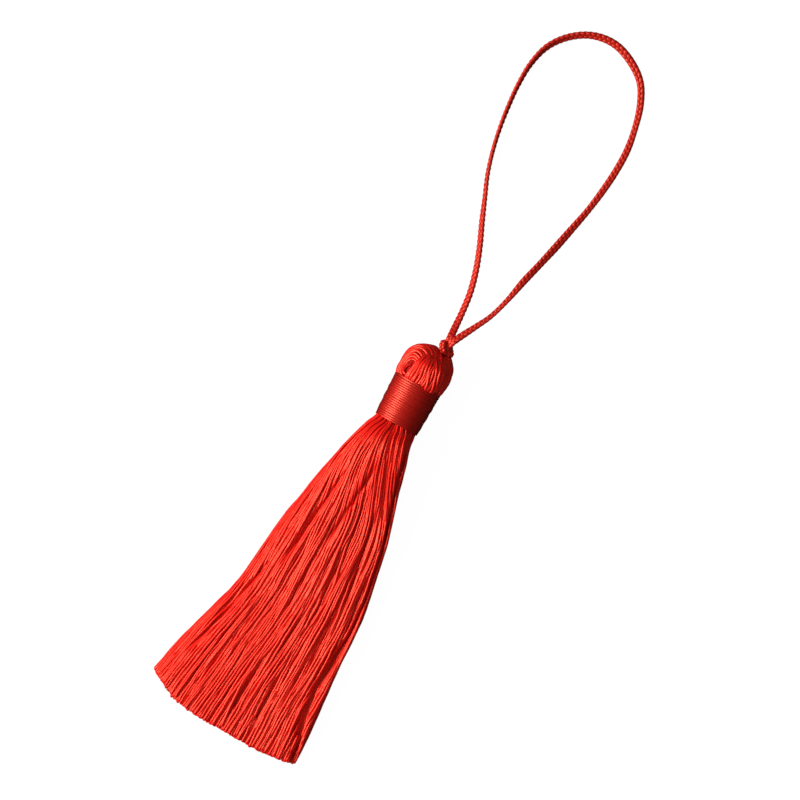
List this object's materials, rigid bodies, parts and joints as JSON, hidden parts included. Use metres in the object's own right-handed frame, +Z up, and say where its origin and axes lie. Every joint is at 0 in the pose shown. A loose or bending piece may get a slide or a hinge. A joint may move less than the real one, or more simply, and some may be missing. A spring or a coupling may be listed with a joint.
{
  "type": "yarn tassel with hanging loop",
  "caption": "Silky red yarn tassel lying flat, with a folded round head, a thread-wound neck, a flared cut skirt and a knotted braided hanging loop.",
  "frame": {"origin": "on the surface it lies on, under the middle of the tassel's body, its loop and knot left out", "axes": "+Y along the tassel from the cut end to the head, +Z up from the surface, +X to the right as seen from above with the head upwards"},
  "size_m": [0.0306, 0.1436, 0.0095],
  "materials": {
    "yarn": "silky, lustrous",
    "binding_thread": "silky, lustrous",
    "braid": "satin braid"
  },
  "bodies": {
    "root": {"yarn_hank": "yarn", "neck_binding": "binding_thread", "loop_knot": "braid", "loop_cord": "braid"}
  },
  "joints": []
}
